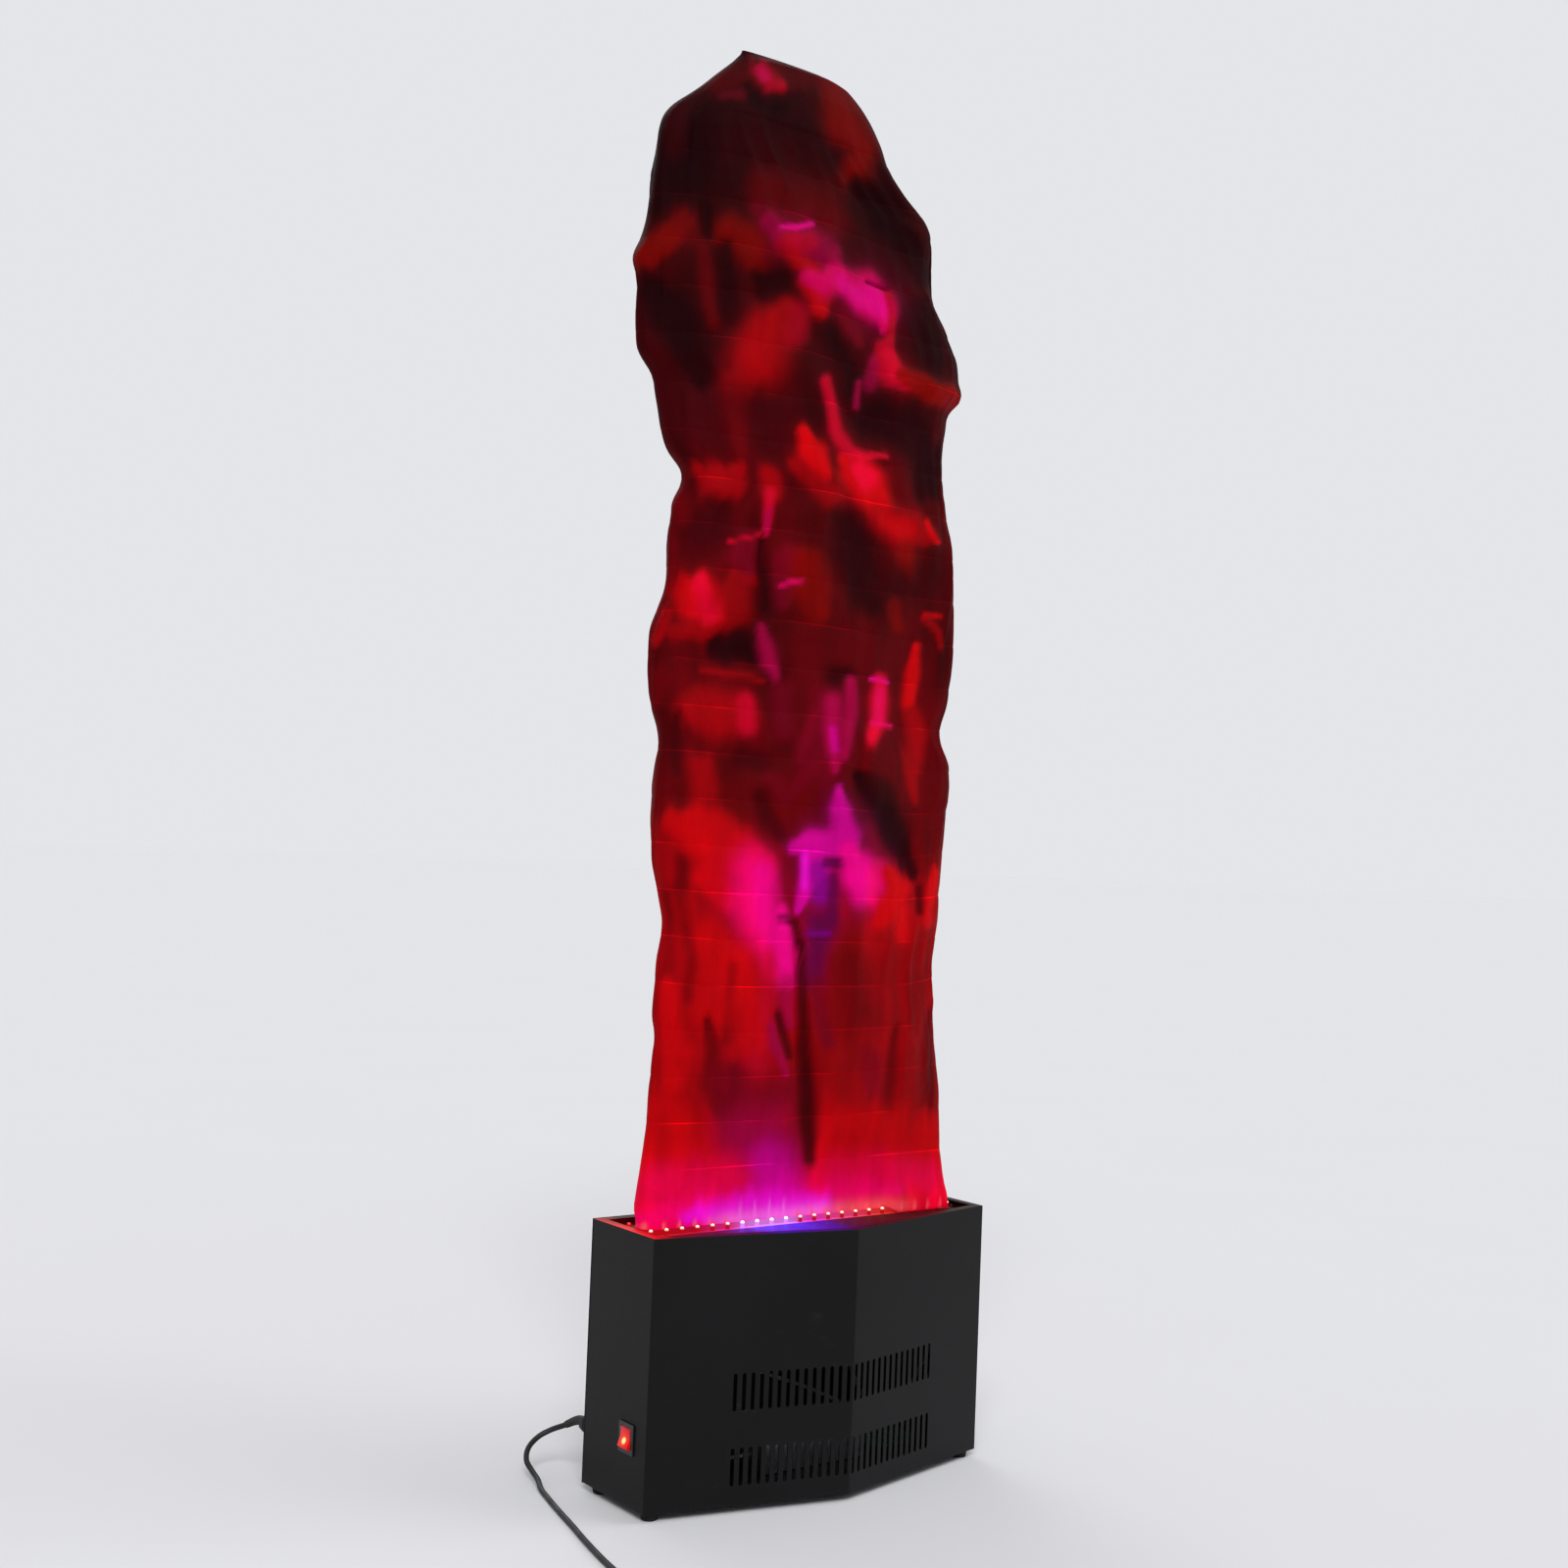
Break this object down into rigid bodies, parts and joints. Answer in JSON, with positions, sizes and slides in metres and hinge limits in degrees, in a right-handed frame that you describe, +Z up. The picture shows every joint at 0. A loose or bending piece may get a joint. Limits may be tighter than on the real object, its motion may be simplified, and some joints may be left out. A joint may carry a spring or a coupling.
{
  "type": "flame effect light",
  "caption": "Black sheet-metal base with a folded front, inside which fans blow a translucent silk flame upright from a slot lit by a row of LEDs.",
  "frame": {"origin": "on the floor, under the middle of the object without its mains lead", "axes": "+Z up, towards the flame's tip; the folded front faces -Y; +X to the right seen from the front"},
  "size_m": [0.8293, 0.4903, 1.839],
  "materials": {
    "black_paint": "fine satin black powder coat on sheet steel",
    "zinc_sheet": "zinc-plated sheet steel",
    "silk": "thin translucent silk-like cloth, lit red and pink from below",
    "light_board": "strip board with bright red, orange and blue-violet LEDs",
    "circuit_board": "green circuit board",
    "fan_black": "black moulded fan plastic",
    "rocker_red": "translucent red, lit from inside",
    "black_nylon": "black moulded nylon",
    "foot_rubber": "matt black rubber",
    "cord_pvc": "flexible black PVC",
    "screw_black": "blackened steel",
    "band": "black hook-and-loop band",
    "hem_tape": "red tape gathered over elastic, lit by the LEDs",
    "lead_grey": "grey PVC sleeve"
  },
  "bodies": {
    "base": {"air_duct": "zinc_sheet", "back_panel": "black_paint", "back_screw_1": "screw_black", "back_screw_2": "screw_black", "back_screw_3": "screw_black", "back_screw_4": "screw_black", "back_screw_5": "screw_black", "back_screw_6": "screw_black", "base_plate": "zinc_sheet", "collar_screw_1": "screw_black", "collar_screw_2": "screw_black", "collar_screw_3": "screw_black", "collar_screw_4": "screw_black", "control_board": "circuit_board", "cord_coil": "cord_pvc", "cord_free": "cord_pvc", "cord_tie": "band", "fan_deck": "zinc_sheet", "fan_frame_1": "fan_black", "fan_frame_2": "fan_black", "fan_frame_3": "fan_black", "fan_lead_1": "lead_grey", "fan_lead_2": "lead_grey", "fan_lead_3": "lead_grey", "fan_screw_1": "screw_black", "fan_screw_2": "screw_black", "fan_screw_3": "screw_black", "fan_screw_4": "screw_black", "fan_screw_5": "screw_black", "fan_screw_6": "screw_black", "flame_silk": "silk", "foot_1": "foot_rubber", "foot_2": "foot_rubber", "foot_3": "foot_rubber", "foot_4": "foot_rubber", "foot_screw_1": "screw_black", "foot_screw_2": "screw_black", "foot_screw_3": "screw_black", "foot_screw_4": "screw_black", "housing_shell": "black_paint", "inlet_lead": "lead_grey", "led_board_front": "light_board", "led_board_rear": "light_board", "led_lead": "lead_grey", "mains_connector": "cord_pvc", "mains_inlet": "black_nylon", "mains_plug": "cord_pvc", "power_supply": "zinc_sheet", "silk_band": "hem_tape", "silk_collar": "zinc_sheet", "supply_lead": "lead_grey", "switch_body": "black_nylon", "switch_lead": "lead_grey", "top_plate": "black_paint"},
    "fan_rotor_1": {"fan_rotor_1": "fan_black"},
    "fan_rotor_2": {"fan_rotor_2": "fan_black"},
    "fan_rotor_3": {"fan_rotor_3": "fan_black"},
    "switch_rocker": {"switch_rocker": "rocker_red"},
    "fuse_drawer": {"fuse_drawer": "black_nylon"}
  },
  "joints": [
    {"name": "fan_1_spin", "type": "hinge", "parent": "base", "child": "fan_rotor_1", "pos_m": [-0.15, 0.022, 0.185], "axis": [0, 0, 1], "continuous": true},
    {"name": "fan_2_spin", "type": "hinge", "parent": "base", "child": "fan_rotor_2", "pos_m": [0, 0.022, 0.185], "axis": [0, 0, 1], "continuous": true},
    {"name": "fan_3_spin", "type": "hinge", "parent": "base", "child": "fan_rotor_3", "pos_m": [0.15, 0.022, 0.185], "axis": [0, 0, 1], "continuous": true},
    {"name": "switch_rock", "type": "hinge", "parent": "base", "child": "switch_rocker", "pos_m": [-0.265, 0.001, 0.091], "axis": [0, -1, 0], "range_deg": [0, 22]},
    {"name": "fuse_slide", "type": "slide", "parent": "base", "child": "fuse_drawer", "axis": [0, 1, 0], "range_m": [0, 0.02]}
  ]
}
